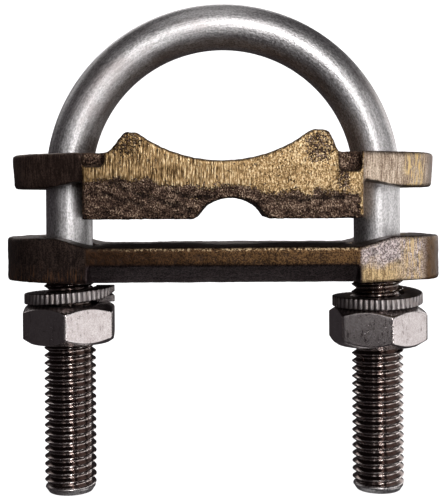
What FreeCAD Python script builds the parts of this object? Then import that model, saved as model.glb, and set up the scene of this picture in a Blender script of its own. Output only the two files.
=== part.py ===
import FreeCAD, Part
import math
import os
import re
import Sketcher

# Ground rod clamp: a threaded U-bolt, two bronze castings that slide on its legs,
# and a split spring washer and a hexagon nut on each leg.
# The origin is the centre of the bend, where the middle of the gripped rod lies.
# +Z points up to the bend, +X along the castings and +Y along the rod.

os.makedirs("parts", exist_ok=True)
doc = FreeCAD.newDocument("ground_rod_clamp")

# Driving sizes in millimetres and degrees
driving = [
    ("leg_spacing", 60.0, "U-bolt legs, centre to centre"),
    ("leg_reach", 60.0, "bend centre to leg ends"),
    ("rod_diameter", 9.0, "plain rod, the size threads are rolled from"),
    ("thread_diameter", 10.0, "over the crests of the thread"),
    ("thread_length", 45.0, "thread, measured up from the leg ends"),
    ("thread_lead_in", 0.6, "height of the cone between rod and thread"),
    ("leg_end_chamfer", 0.9, "chamfer on the leg ends"),
    ("saddle_drop", 7.3, "saddle underside below the bend centre"),
    ("saddle_depth", 29.0, "saddle, front to back"),
    ("saddle_neck", 4.5, "saddle block end to leg axis"),
    ("saddle_hole_clearance", 0.4, "around the thread, each side"),
    ("ear_end_radius", 10.9, "rounded end of each ear, about the leg axis"),
    ("ear_top_height", 12.4, "ear top above the saddle underside"),
    ("ear_thickness", 6.6, "ear at its end"),
    ("ear_relief_height", 1.3, "how much thinner the ear is beside the block"),
    ("ear_relief_run", 7.5, "length of the sloping underside of the ear"),
    ("ear_draft", 4.0, "mould draft of the ears, degrees"),
    ("cradle_radius", 26.0, "curve that bears on the gripped rod"),
    ("cradle_low_height", 10.85, "lowest point of the cradle above the underside"),
    ("left_peak_flat", 2.2, "flat on top of the left cradle end"),
    ("right_peak_flat", 3.2, "flat on top of the right cradle end"),
    ("left_slope_run", 2.9, "outer slope of the left cradle end"),
    ("right_slope_run", 1.8, "outer slope of the right cradle end"),
    ("left_foot_inset", 4.8, "foot of the left slope from the block end"),
    ("right_foot_inset", 4.5, "foot of the right slope from the block end"),
    ("left_peak_round", 0.9, "edges of the left cradle end"),
    ("right_peak_round", 1.6, "edges of the right cradle end"),
    ("shoulder_width", 3.8, "recess beside each cradle end"),
    ("left_shoulder_rim", 0.0, "wall outside the left recess, which is open"),
    ("right_shoulder_rim", 0.6, "wall outside the right recess"),
    ("shoulder_depth", 2.2, "recess, in from the front or back face"),
    ("left_shoulder_drop", 2.5, "left recess floor below the ear top"),
    ("right_shoulder_drop", 3.5, "right recess floor below the ear top"),
    ("groove_width", 13.45, "cable groove at the saddle underside"),
    ("groove_bevel_run", 1.73, "bevelled side of the groove, across"),
    ("groove_bevel_rise", 2.17, "bevelled side of the groove, up"),
    ("groove_radius", 8.0, "roof of the cable groove"),
    ("groove_offset", 1.5, "groove centre off the saddle centre, as cast"),
    ("bar_drop", 19.0, "bar underside below the bend centre"),
    ("bar_depth", 29.0, "bar, front to back"),
    ("bar_neck", 5.0, "corner of the bar to leg axis"),
    ("bar_hole_clearance", 0.6, "around the thread, each side"),
    ("boss_end_radius", 11.9, "rounded end of the bar, about the leg axis"),
    ("boss_height", 8.6, "bar at its ends"),
    ("bar_middle_height", 6.9, "bar between its ends"),
    ("boss_ramp_run", 6.0, "slope from the middle up to each end"),
    ("bar_bevel", 3.5, "bevel along the bottom edges, both ways"),
    ("bar_bevel_inset", 0.5, "end of the bevel from the corner of the bar"),
    ("casting_round", 0.7, "cast edges of ears and bosses"),
    ("washer_bore_clearance", 0.2, "around the thread, each side"),
    ("washer_diameter", 17.5, "outside of the spring washer"),
    ("washer_thickness", 2.0, "section of the spring washer"),
    ("washer_rise", 1.5, "how far the split ends stand apart"),
    ("washer_split", 12.0, "angle of the split, degrees"),
    ("left_washer_gap", 1.1, "under the bar"),
    ("right_washer_gap", 2.0, "under the bar"),
    ("left_washer_turn", 6.0, "split from +X, degrees"),
    ("right_washer_turn", 66.0, "split from +X, degrees"),
    ("nut_across_flats", 17.0, "hexagon nut"),
    ("nut_height", 7.4, "hexagon nut"),
    ("nut_face_diameter", 15.6, "flat face inside the corner chamfers"),
    ("nut_chamfer_angle", 33.0, "corner chamfers, degrees"),
    ("nut_countersink", 0.6, "both mouths of the thread"),
    ("nut_thread_clearance", 0.05, "around the thread, each side"),
    ("nut_seat_clearance", 0.05, "between washer and nut"),
    ("left_nut_turn", 4.0, "corner from the front, degrees"),
    ("right_nut_turn", 8.5, "corner from the front, degrees"),
    ("cut_margin", 1.0, "how far a cutting outline runs past the solid"),
]
sheet = doc.addObject("Spreadsheet::Sheet", "Sizes")
for row, (name, size, note) in enumerate(driving, start=1):
    sheet.set(f"A{row}", name)
    sheet.set(f"B{row}", str(size))
    sheet.set(f"C{row}", note)
    sheet.setAlias(f"B{row}", name)
doc.recompute()


# The value of a rule written in terms of the sheet
def valueOf(rule):
    value = sheet.evalExpression(rule)
    return float(getattr(value, "Value", value))


# Binds a property to a rule, in which each word that is a size means its cell
def bind(item, path, rule):
    names = "|".join(name for name, size, note in driving)
    item.setExpression(path, re.sub(rf"\b({names})\b", r"Sizes.\1", rule))


def newBody(name):
    body = doc.addObject("PartDesign::Body", name)
    body.Label = name
    return body


def originPart(body, role):
    return next(part for part in body.Origin.OriginFeatures if part.Role == role)


# A sketch on one of the body's own origin planes, moved out along its normal
def newSketch(body, name, role, lift=None, across=None):
    sketch = body.newObject("Sketcher::SketchObject", name)
    sketch.AttachmentSupport = [(originPart(body, role), "")]
    sketch.MapMode = "FlatFace"
    if lift:
        bind(sketch, "AttachmentOffset.Base.z", lift)
    if across:
        bind(sketch, "AttachmentOffset.Base.x", across)
    return sketch


# Dimensions one coordinate of a vertex from the sketch's origin
def dimension(sketch, kind, edge, end, rule):
    value = valueOf(rule)
    if abs(value) < 1e-9:
        axis = -2 if kind == "DistanceX" else -1
        sketch.addConstraint(Sketcher.Constraint("PointOnObject", edge, end, axis))
        return
    ends = (-1, 1, edge, end) if value > 0 else (edge, end, -1, 1)
    spot = sketch.addConstraint(Sketcher.Constraint(kind, *ends, abs(value)))
    bind(sketch, f"Constraints[{spot}]", rule if value > 0 else f"-({rule})")


# An arc between two points, with its centre on the left of the way from first to last
# where turn is 1 and on the right where it is -1
def arcBetween(first, last, radius, turn):
    middle = (first + last) * 0.5
    chord = last - first
    reach = math.sqrt(max(radius**2 - (chord.Length / 2) ** 2, 0))
    left = FreeCAD.Vector(-chord.y, chord.x, 0).normalize()
    centre = middle + left * (reach * turn)
    start, end = (first, last) if turn > 0 else (last, first)
    angles = [math.atan2(p.y - centre.y, p.x - centre.x) for p in (start, end)]
    if angles[1] < angles[0]:
        angles[1] += 2 * math.pi
    circle = Part.Circle(centre, FreeCAD.Vector(0, 0, 1), radius)
    return Part.ArcOfCircle(circle, *angles)


# A closed outline through corners given as pairs of rules. The edge after a corner
# that arcs names is an arc of the given radius.
def drawOutline(sketch, corners, arcs=None):
    arcs = arcs or {}
    points = [FreeCAD.Vector(valueOf(x), valueOf(y), 0) for x, y in corners]
    starts = []
    for i, point in enumerate(points):
        after = points[(i + 1) % len(points)]
        if i in arcs:
            radius, turn = arcs[i]
            edge = sketch.addGeometry(arcBetween(point, after, valueOf(radius), turn))
            starts.append((edge, 1, 2) if turn > 0 else (edge, 2, 1))
        else:
            edge = sketch.addGeometry(Part.LineSegment(point, after))
            starts.append((edge, 1, 2))
    for i in range(len(points)):
        edge, begin, end = starts[i]
        after, afterBegin, afterEnd = starts[(i + 1) % len(points)]
        join = Sketcher.Constraint("Coincident", edge, end, after, afterBegin)
        sketch.addConstraint(join)
    for i, (radius, turn) in arcs.items():
        edge = starts[i][0]
        spot = sketch.addConstraint(Sketcher.Constraint("Radius", edge, valueOf(radius)))
        bind(sketch, f"Constraints[{spot}]", radius)
    for i, (x, y) in enumerate(corners):
        edge, begin, end = starts[i]
        dimension(sketch, "DistanceX", edge, begin, x)
        dimension(sketch, "DistanceY", edge, begin, y)


# A circle centred at a pair of rules
def drawCircle(sketch, x, y, radius):
    centre = FreeCAD.Vector(valueOf(x), valueOf(y), 0)
    circle = Part.Circle(centre, FreeCAD.Vector(0, 0, 1), valueOf(radius))
    edge = sketch.addGeometry(circle)
    dimension(sketch, "DistanceX", edge, 3, x)
    dimension(sketch, "DistanceY", edge, 3, y)
    spot = sketch.addConstraint(Sketcher.Constraint("Radius", edge, valueOf(radius)))
    bind(sketch, f"Constraints[{spot}]", radius)


# The plan of a casting: a block with an ear round each leg axis. Straight sides run
# from the corners of the block and meet the rounded ends tangentially.
def drawPlan(sketch, cornerX, cornerY, endRadius):
    corner = FreeCAD.Vector(valueOf(cornerX), valueOf(cornerY), 0)
    centre = FreeCAD.Vector(valueOf("leg_spacing / 2"), 0, 0)
    radius = valueOf(endRadius)
    away = corner - centre
    angle = math.atan2(away.y, away.x) - math.acos(radius / away.Length)
    touch = centre + FreeCAD.Vector(math.cos(angle), math.sin(angle), 0) * radius

    def at(point, side, way):
        return FreeCAD.Vector(point.x * side, point.y * way, 0)

    def line(start, end):
        return sketch.addGeometry(Part.LineSegment(start, end))

    def cap(side):
        circle = Part.Circle(at(centre, side, 1), FreeCAD.Vector(0, 0, 1), radius)
        turn = 0 if side > 0 else math.pi
        ends = (turn - angle, turn + angle)
        return sketch.addGeometry(Part.ArcOfCircle(circle, *ends))

    front = line(at(corner, -1, -1), at(corner, 1, -1))
    frontRight = line(at(corner, 1, -1), at(touch, 1, -1))
    right = cap(1)
    backRight = line(at(touch, 1, 1), at(corner, 1, 1))
    back = line(at(corner, 1, 1), at(corner, -1, 1))
    backLeft = line(at(corner, -1, 1), at(touch, -1, 1))
    left = cap(-1)
    frontLeft = line(at(touch, -1, -1), at(corner, -1, -1))
    for edge, after in (
        (front, frontRight),
        (backRight, back),
        (back, backLeft),
        (frontLeft, front),
    ):
        sketch.addConstraint(Sketcher.Constraint("Coincident", edge, 2, after, 1))
    for edge, after in (
        (frontRight, right),
        (right, backRight),
        (backLeft, left),
        (left, frontLeft),
    ):
        sketch.addConstraint(Sketcher.Constraint("Tangent", edge, 2, after, 1))
    for edge, x, y in (
        (front, f"-({cornerX})", f"-({cornerY})"),
        (frontRight, cornerX, f"-({cornerY})"),
        (back, cornerX, cornerY),
        (backLeft, f"-({cornerX})", cornerY),
    ):
        dimension(sketch, "DistanceX", edge, 1, x)
        dimension(sketch, "DistanceY", edge, 1, y)
    for edge, x in ((right, "leg_spacing / 2"), (left, "-leg_spacing / 2")):
        dimension(sketch, "DistanceX", edge, 3, x)
        dimension(sketch, "DistanceY", edge, 3, "0")
        spot = sketch.addConstraint(Sketcher.Constraint("Radius", edge, radius))
        bind(sketch, f"Constraints[{spot}]", endRadius)


# Adds a pad, pocket, revolution or groove, and checks that it added or removed solid
def addFeature(body, kind, name, sketch, rules, settings=None):
    doc.recompute()
    before = body.Shape.Volume if body.Tip else 0.0
    feature = body.newObject(f"PartDesign::{kind}", name)
    feature.Profile = sketch
    sketch.Visibility = False
    for path, value in (settings or {}).items():
        setattr(feature, path, value)
    for path, rule in rules.items():
        bind(feature, path, rule)
    body.Tip = feature
    doc.recompute()
    change = body.Shape.Volume - before
    cuts = kind in ("Pocket", "Groove")
    print(f"{body.Label}: {name} {change:+.1f} mm3")
    assert change < 0 if cuts else change > 0, f"{name} works the wrong way"
    return feature


# Copies features to the other side of one of the body's origin planes
def addMirror(body, name, features, role):
    before = body.Shape.Volume
    mirror = body.newObject("PartDesign::Mirrored", name)
    mirror.Originals = features
    mirror.MirrorPlane = (originPart(body, role), [""])
    body.Tip = mirror
    doc.recompute()
    print(f"{body.Label}: {name} {body.Shape.Volume - before:+.1f} mm3")
    return mirror


# Names of the body's edges whose ends and middle all pass a test
def edgesWhere(body, test):
    found = []
    for i, edge in enumerate(body.Tip.Shape.Edges, start=1):
        span = (edge.FirstParameter, edge.LastParameter)
        middle = edge.valueAt(sum(span) / 2)
        points = [edge.valueAt(span[0]), middle, edge.valueAt(span[1])]
        if all(test(point) for point in points):
            found.append(f"Edge{i}")
    return found


# Rounds or chamfers edges of the body, and checks that it changed the solid
def addRounding(body, kind, name, edges, rule):
    path = "Radius" if kind == "Fillet" else "Size"
    base = body.Tip
    before = body.Shape.Volume
    feature = body.newObject(f"PartDesign::{kind}", name)
    feature.Base = (base, edges)
    bind(feature, path, rule)
    body.Tip = feature
    doc.recompute()
    change = body.Shape.Volume - before
    print(f"{body.Label}: {name} on {len(edges)} edges, {change:+.1f} mm3")
    assert abs(change) > 0, f"{name} changes nothing"
    return feature


def near(value, rule):
    return abs(value - valueOf(rule)) < 1e-4


# Whether an edge runs across the body from front to back, and not round its end
def crossesMiddle(body, edge):
    box = body.Tip.Shape.getElement(edge).BoundBox
    straight = box.XLength < 1e-6
    return straight and box.YMin < 0 < box.YMax


# U-bolt: half a ring of plain rod on two straight legs with rolled threads, which
# stand a little proud of the rod. The thread itself is a plain cylinder here.
uBolt = newBody("u_bolt")
section = newSketch(uBolt, "rod_section", "XY_Plane")
drawCircle(section, "leg_spacing / 2", "0", "rod_diameter / 2")
axis = (section, ["V_Axis"])
bend = {"ReferenceAxis": axis, "Angle": 180.0, "Reversed": True}
addFeature(uBolt, "Revolution", "bend", section, {}, bend)
profile = newSketch(uBolt, "leg_profile", "XZ_Plane", across="leg_spacing / 2")
threadTop = "-(leg_reach - thread_length)"
drawOutline(
    profile,
    [
        ("0", "-leg_reach"),
        ("thread_diameter / 2 - leg_end_chamfer", "-leg_reach"),
        ("thread_diameter / 2", "-leg_reach + leg_end_chamfer"),
        ("thread_diameter / 2", f"{threadTop} - thread_lead_in"),
        ("rod_diameter / 2", threadTop),
        ("rod_diameter / 2", "0"),
        ("0", "0"),
    ],
)
turned = {"ReferenceAxis": (profile, ["V_Axis"]), "Angle": 360.0}
rightLeg = addFeature(uBolt, "Revolution", "right_leg", profile, {}, turned)
addMirror(uBolt, "left_leg", [rightLeg], "YZ_Plane")

# Saddle: a bronze casting with a cradle for the rod between two ears
saddle = newBody("saddle")
blockEnd = "(leg_spacing / 2 - saddle_neck)"
plan = newSketch(saddle, "ear_plan", "XY_Plane", lift="ear_top_height")
drawPlan(plan, blockEnd, "saddle_depth / 2", "ear_end_radius")
addFeature(
    saddle,
    "Pad",
    "ears",
    plan,
    {"Length": "ear_thickness", "TaperAngle": "-ear_draft"},
    {"Reversed": True},
)

# The underside of each ear rises towards the block
relief = newSketch(saddle, "ear_relief_profile", "XZ_Plane")
earBottom = "(ear_top_height - ear_thickness)"
drawOutline(
    relief,
    [
        (blockEnd, earBottom),
        (f"{blockEnd} + ear_relief_run", earBottom),
        (blockEnd, f"{earBottom} + ear_relief_height"),
    ],
)
drawOutline(
    relief,
    [
        (f"-{blockEnd}", earBottom),
        (f"-{blockEnd}", f"{earBottom} + ear_relief_height"),
        (f"-{blockEnd} - ear_relief_run", earBottom),
    ],
)
through = {"Type": "ThroughAll", "Midplane": True}
addFeature(saddle, "Pocket", "ear_relief", relief, {}, through)

# Front view of the block: the cable groove below, the cradle and its two ends above
front = newSketch(saddle, "block_profile", "XZ_Plane")
foot, outer, inner, top = {}, {}, {}, {}
for side in ("left", "right"):
    foot[side] = f"({blockEnd} - {side}_foot_inset)"
    outer[side] = f"({foot[side]} - {side}_slope_run)"
    inner[side] = f"({outer[side]} - {side}_peak_flat)"
    sag = f"(cradle_radius - sqrt(cradle_radius ^ 2 - {inner[side]} ^ 2))"
    top[side] = f"(cradle_low_height + {sag})"
grooveSide = "groove_width / 2"
grooveRoof = "(groove_width / 2 - groove_bevel_run)"
drawOutline(
    front,
    [
        (f"-{blockEnd}", "0"),
        (f"groove_offset - {grooveSide}", "0"),
        (f"groove_offset - {grooveRoof}", "groove_bevel_rise"),
        (f"groove_offset + {grooveRoof}", "groove_bevel_rise"),
        (f"groove_offset + {grooveSide}", "0"),
        (blockEnd, "0"),
        (blockEnd, "ear_top_height"),
        (foot["right"], "ear_top_height"),
        (outer["right"], top["right"]),
        (inner["right"], top["right"]),
        (f"-{inner['left']}", top["left"]),
        (f"-{outer['left']}", top["left"]),
        (f"-{foot['left']}", "ear_top_height"),
        (f"-{blockEnd}", "ear_top_height"),
    ],
    arcs={2: ("groove_radius", -1), 9: ("cradle_radius", -1)},
)
addFeature(
    saddle, "Pad", "block", front, {"Length": "saddle_depth"}, {"Midplane": True}
)

# The cradle runs through the plate of the ears as well
cradle = newSketch(saddle, "cradle_profile", "XZ_Plane")
clearAbove = "(cradle_low_height + cradle_radius)"
drawOutline(
    cradle,
    [
        (inner["right"], top["right"]),
        (f"-{inner['left']}", top["left"]),
        (f"-{inner['left']}", clearAbove),
        (inner["right"], clearAbove),
    ],
    arcs={0: ("cradle_radius", -1)},
)
addFeature(saddle, "Pocket", "cradle", cradle, {}, through)

# Each cradle end is rounded by hand, the left less than the right
for side, way in (("left", -1), ("right", 1)):
    edges = edgesWhere(
        saddle,
        lambda p: near(p.z, top[side])
        and (near(p.x * way, inner[side]) or near(p.x * way, outer[side])),
    )
    addRounding(saddle, "Fillet", side + "_peak_rounding", edges, side + "_peak_round")

# Recesses beside the cradle ends, open to the top and to the front or back
innerY = "(saddle_depth / 2 - shoulder_depth)"
outerY = "(saddle_depth / 2 + shoulder_depth)"
for side, sign in (("left", "-"), ("right", "")):
    floor = f"ear_top_height - {side}_shoulder_drop"
    recess = newSketch(saddle, side + "_shoulder_plan", "XY_Plane", lift=floor)
    outerX = f"({blockEnd} - {side}_shoulder_rim)"
    innerX = f"({outerX} - shoulder_width)"
    for way in ("", "-"):
        drawOutline(
            recess,
            [
                (f"{sign}{innerX}", f"{way}{innerY}"),
                (f"{sign}{outerX}", f"{way}{innerY}"),
                (f"{sign}{outerX}", f"{way}{outerY}"),
                (f"{sign}{innerX}", f"{way}{outerY}"),
            ],
        )
    addFeature(
        saddle,
        "Pocket",
        side + "_shoulder_recesses",
        recess,
        {},
        {"Type": "ThroughAll", "Reversed": True},
    )

# The cast rims of the ears are rounded along the top
topRim = edgesWhere(
    saddle,
    lambda p: near(p.z, "ear_top_height") and abs(p.x) > valueOf(blockEnd) - 1e-4,
)
addRounding(saddle, "Fillet", "ear_top_rims", topRim, "casting_round")
underRim = edgesWhere(
    saddle,
    lambda p: near(p.z, earBottom)
    and abs(p.x) > valueOf(f"{blockEnd} + ear_relief_run") - 1e-4,
)
underRim = [edge for edge in underRim if not crossesMiddle(saddle, edge)]
addRounding(saddle, "Fillet", "ear_under_rims", underRim, "casting_round")

# The legs pass through the ears and leave a hollow down each end of the block
holes = newSketch(saddle, "leg_hole_plan", "XY_Plane")
for side in ("", "-"):
    drawCircle(
        holes,
        f"{side}leg_spacing / 2",
        "0",
        "thread_diameter / 2 + saddle_hole_clearance",
    )
addFeature(saddle, "Pocket", "leg_holes", holes, {}, through)
bind(saddle, "Placement.Base.z", "-saddle_drop")

# Lower bar: a bronze casting that the nuts draw up against the cable
bar = newBody("lower_bar")
corner = "(leg_spacing / 2 - bar_neck)"
plan = newSketch(bar, "bar_plan", "XY_Plane")
drawPlan(plan, corner, "bar_depth / 2", "boss_end_radius")
addFeature(bar, "Pad", "bar_blank", plan, {"Length": "boss_height"})

# The middle is lower than the bosses round the legs
dip = newSketch(bar, "dip_profile", "XZ_Plane")
drawOutline(
    dip,
    [
        (f"-{corner}", "bar_middle_height"),
        (corner, "bar_middle_height"),
        (f"{corner} + boss_ramp_run", "boss_height"),
        (f"{corner} + boss_ramp_run", "boss_height + cut_margin"),
        (f"-{corner} - boss_ramp_run", "boss_height + cut_margin"),
        (f"-{corner} - boss_ramp_run", "boss_height"),
    ],
)
addFeature(bar, "Pocket", "dip", dip, {}, through)

# The bottom edges of the middle are bevelled between the bosses
bevel = newSketch(bar, "bevel_profile", "YZ_Plane")
for way in ("", "-"):
    drawOutline(
        bevel,
        [
            (f"{way}(bar_depth / 2 - bar_bevel)", "0"),
            (f"{way}bar_depth / 2", "bar_bevel"),
            (f"{way}(bar_depth / 2 + bar_bevel)", "bar_bevel"),
            (f"{way}(bar_depth / 2 + bar_bevel)", "-bar_bevel"),
            (f"{way}(bar_depth / 2 - bar_bevel)", "-bar_bevel"),
        ],
    )
addFeature(
    bar,
    "Pocket",
    "bottom_bevels",
    bevel,
    {"Length": f"2 * ({corner} - bar_bevel_inset)"},
    {"Midplane": True},
)

# The cast edges round the top are rounded, and so are those under the bosses
topRim = edgesWhere(bar, lambda p: p.z > valueOf("bar_middle_height") - 1e-4)
topRim = [edge for edge in topRim if not crossesMiddle(bar, edge)]
addRounding(bar, "Fillet", "top_rim", topRim, "casting_round")
underRim = edgesWhere(
    bar, lambda p: near(p.z, "0") and abs(p.x) > valueOf(corner) - 1e-4
)
addRounding(bar, "Fillet", "boss_under_rims", underRim, "casting_round")
holes = newSketch(bar, "leg_hole_plan", "XY_Plane")
for side in ("", "-"):
    drawCircle(
        holes,
        f"{side}leg_spacing / 2",
        "0",
        "thread_diameter / 2 + bar_hole_clearance",
    )
addFeature(bar, "Pocket", "leg_holes", holes, {}, through)
bind(bar, "Placement.Base.z", "-bar_drop")


# Spring washer: one turn of a square coil with a gap in it, rising anticlockwise
def makeWasher(name, legX, gap, turn):
    body = newBody(name)
    bore = "(thread_diameter / 2 + washer_bore_clearance)"
    sketch = newSketch(body, "coil_section", "XZ_Plane")
    drawOutline(
        sketch,
        [
            (bore, "0"),
            ("washer_diameter / 2", "0"),
            ("washer_diameter / 2", "washer_thickness"),
            (bore, "washer_thickness"),
        ],
    )
    doc.recompute()
    coil = body.newObject("PartDesign::AdditiveHelix", "coil")
    coil.Profile = sketch
    coil.ReferenceAxis = (sketch, ["V_Axis"])
    coil.Mode = "height-turns-angle"
    bind(coil, "Height", "washer_rise")
    bind(coil, "Turns", "(360 - washer_split) / 360")
    body.Tip = coil
    bind(body, "Placement.Base.x", legX)
    bind(body, "Placement.Base.z", f"-bar_drop - {gap} - washer_rise - washer_thickness")
    bind(body, "Placement.Rotation.Angle", f"{turn} + washer_split / 2")
    doc.recompute()
    print(f"{name}: coil {body.Shape.Volume:+.1f} mm3")
    return body


# Hexagon nut with its corners chamfered top and bottom
def makeNut(name, legX, gap, turn):
    body = newBody(name)
    plan = newSketch(body, "hexagon", "XY_Plane")
    cornerReach = "nut_across_flats / 2 / cos(30)"
    drawOutline(
        plan,
        [
            (f"{cornerReach} * cos({angle})", f"{cornerReach} * sin({angle})")
            for angle in range(-90, 270, 60)
        ],
    )
    addFeature(body, "Pad", "prism", plan, {"Length": "nut_height"})
    hole = newSketch(body, "thread_plan", "XY_Plane")
    drawCircle(hole, "0", "0", "thread_diameter / 2 + nut_thread_clearance")
    addFeature(body, "Pocket", "thread", hole, {}, through)
    bore = valueOf("thread_diameter / 2 + nut_thread_clearance")
    mouths = edgesWhere(body, lambda p: near(math.hypot(p.x, p.y), str(bore)))
    mouths = [
        edge
        for edge in mouths
        if body.Shape.getElement(edge).BoundBox.ZLength < 1e-6
    ]
    addRounding(body, "Chamfer", "countersinks", mouths, "nut_countersink")
    section = newSketch(body, "corner_section", "XZ_Plane")
    face = "nut_face_diameter / 2"
    reach = "nut_across_flats"
    fall = f"({reach} - {face}) * tan(nut_chamfer_angle)"
    drawOutline(
        section,
        [
            (face, "nut_height"),
            (reach, f"nut_height - {fall}"),
            (reach, "nut_height + cut_margin"),
            (face, "nut_height + cut_margin"),
        ],
    )
    drawOutline(
        section,
        [(face, "0"), (face, "-cut_margin"), (reach, "-cut_margin"), (reach, fall)],
    )
    turned = {"ReferenceAxis": (section, ["V_Axis"]), "Angle": 360.0}
    addFeature(body, "Groove", "corner_chamfers", section, {}, turned)
    bind(body, "Placement.Base.x", legX)
    stack = f"-bar_drop - {gap} - washer_rise - washer_thickness"
    bind(body, "Placement.Base.z", f"{stack} - nut_seat_clearance - nut_height")
    bind(body, "Placement.Rotation.Angle", turn)
    return body


washers = [
    makeWasher("spring_washer_left", "-leg_spacing / 2", "left_washer_gap", "left_washer_turn"),
    makeWasher("spring_washer_right", "leg_spacing / 2", "right_washer_gap", "right_washer_turn"),
]
nuts = [
    makeNut("hex_nut_left", "-leg_spacing / 2", "left_washer_gap", "left_nut_turn"),
    makeNut("hex_nut_right", "leg_spacing / 2", "right_washer_gap", "right_nut_turn"),
]
doc.recompute()

# Every object and every finished piece is checked before anything is written
for item in doc.Objects:
    if "Invalid" in item.State or "Error" in item.State:
        raise RuntimeError(f"{item.Label} failed: {item.State}")
pieces = [uBolt, saddle, bar, *washers, *nuts]
for piece in pieces:
    shape = piece.Shape
    if shape.isNull() or not shape.isValid() or len(shape.Solids) != 1:
        raise RuntimeError(f"{piece.Label} is not one valid solid")
for piece in pieces:
    piece.Shape.exportStep(f"parts/{piece.Label}.step")
    box = piece.Shape.optimalBoundingBox()
    print(
        f"{piece.Label}: x {box.XMin:.2f} to {box.XMax:.2f}, y {box.YMin:.2f} to"
        f" {box.YMax:.2f}, z {box.ZMin:.2f} to {box.ZMax:.2f},"
        f" {piece.Shape.Volume / 1000:.2f} cm3"
    )
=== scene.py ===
import math

import bmesh
import bpy
import numpy as np
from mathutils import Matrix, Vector


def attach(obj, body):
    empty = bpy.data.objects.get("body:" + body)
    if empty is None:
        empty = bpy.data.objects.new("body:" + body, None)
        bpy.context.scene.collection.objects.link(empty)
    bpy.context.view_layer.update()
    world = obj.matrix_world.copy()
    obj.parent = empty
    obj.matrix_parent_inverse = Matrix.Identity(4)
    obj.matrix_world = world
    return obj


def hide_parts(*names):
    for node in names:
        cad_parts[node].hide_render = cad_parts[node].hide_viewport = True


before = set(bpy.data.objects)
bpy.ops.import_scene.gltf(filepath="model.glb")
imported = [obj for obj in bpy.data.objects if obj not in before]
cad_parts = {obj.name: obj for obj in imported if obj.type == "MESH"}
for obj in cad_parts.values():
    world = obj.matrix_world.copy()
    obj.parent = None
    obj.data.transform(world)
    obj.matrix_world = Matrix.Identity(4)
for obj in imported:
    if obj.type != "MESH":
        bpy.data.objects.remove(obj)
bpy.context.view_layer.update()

# Ground rod clamp: threaded U-bolt, two bronze castings, two split washers, two nuts.
# Metres, where no comment says millimetres. +Z points up to the bend, +Y away from the
# viewer.

mm = 0.001


# A socket that takes part in Python arithmetic: each operator adds one Math node
class Signal:
    def __init__(self, finish, socket):
        self.finish = finish
        self.socket = socket

    def __add__(self, other):
        return self.finish.math("ADD", self, other)

    def __radd__(self, other):
        return self.finish.math("ADD", other, self)

    def __sub__(self, other):
        return self.finish.math("SUBTRACT", self, other)

    def __rsub__(self, other):
        return self.finish.math("SUBTRACT", other, self)

    def __mul__(self, other):
        return self.finish.math("MULTIPLY", self, other)

    def __rmul__(self, other):
        return self.finish.math("MULTIPLY", other, self)

    def step(self, low, high):  # 0 below low, 1 above high, smooth in between
        sockets = {0: self, 1: low, 2: high}
        return self.finish.node("MapRange", {"interpolation_type": "SMOOTHSTEP"}, sockets)


# A node tree being written: every node of it comes from the one method node()
class Finish:
    def __init__(self, tree):
        self.tree = tree
        tree.nodes.clear()

    def node(self, kind, settings=None, sockets=None, output=0):
        made = self.tree.nodes.new("ShaderNode" + kind)
        for name, value in (settings or {}).items():
            if name == "stops":
                ramp = made.color_ramp
                while len(ramp.elements) < len(value):
                    ramp.elements.new(1.0)
                for element, (spot, shade) in zip(ramp.elements, value):
                    element.position = spot
                    element.color = (*shade, 1.0)
            else:
                setattr(made, name, value)
        for name, value in (sockets or {}).items():
            if isinstance(value, Signal):
                self.tree.links.new(value.socket, made.inputs[name])
            else:
                made.inputs[name].default_value = value
        return Signal(self, made.outputs[output]) if made.outputs else None

    def math(self, operation, *values):
        return self.node("Math", {"operation": operation}, dict(enumerate(values)))

    def mix(self, amount, first, second):
        shades = [s if isinstance(s, Signal) else (*s, 1.0) for s in (first, second)]
        sockets = {0: amount, 6: shades[0], 7: shades[1]}
        return self.node("Mix", {"data_type": "RGBA"}, sockets, 2)

    def ramp(self, value, *stops):  # stops are pairs of a place and a colour
        return self.node("ValToRGB", {"stops": stops}, {0: value})

    # Place on the surface, stretched by three factors and then divided by a grain size
    def place(self, source, stretch, grain):
        factors = tuple(f / grain for f in stretch)
        return self.node("VectorMath", {"operation": "MULTIPLY"}, {0: source, 1: factors})

    def axis(self, source, number):
        return self.node("SeparateXYZ", None, {0: source}, number)

    def noise(self, place, detail=2.0, roughness=0.5, distortion=0.0):
        sockets = {
            "Vector": place,
            "Scale": 1.0,
            "Detail": detail,
            "Roughness": roughness,
            "Distortion": distortion,
        }
        return self.node("TexNoise", None, sockets)

    def field(self, name):  # a value that numpy stored on the mesh
        return self.node("Attribute", {"attribute_name": name}, None, 2)

    def flow(self, name):  # a vector that numpy stored on the mesh
        return self.node("Attribute", {"attribute_name": name}, None, 1)


# An empty material and the tree that its finish is written in
def newMaterial(name):
    material = bpy.data.materials.new(name)
    material.use_nodes = True
    return material, Finish(material.node_tree)


# Puts the metal's shader at the end of a finish. Depth is how high a bump of 1 stands.
def metal(f, base, roughness, height, depth, metallic=1.0):
    bump = f.node("Bump", None, {"Strength": 1.0, "Distance": depth, "Height": height})
    sockets = {
        "Base Color": base,
        "Roughness": roughness,
        "Metallic": metallic,
        "Normal": bump,
    }
    shader = f.node("BsdfPrincipled", None, sockets)
    f.node("OutputMaterial", None, {"Surface": shader})


# Six times the volume inside a mesh of quads: the sum of p0 . (p1 x p2) over triangles
def signedVolume(points, quads):
    a, b, c, d = (points[quads[:, k]] for k in range(4))
    return np.sum(a * np.cross(b, c)) + np.sum(a * np.cross(c, d))


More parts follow.
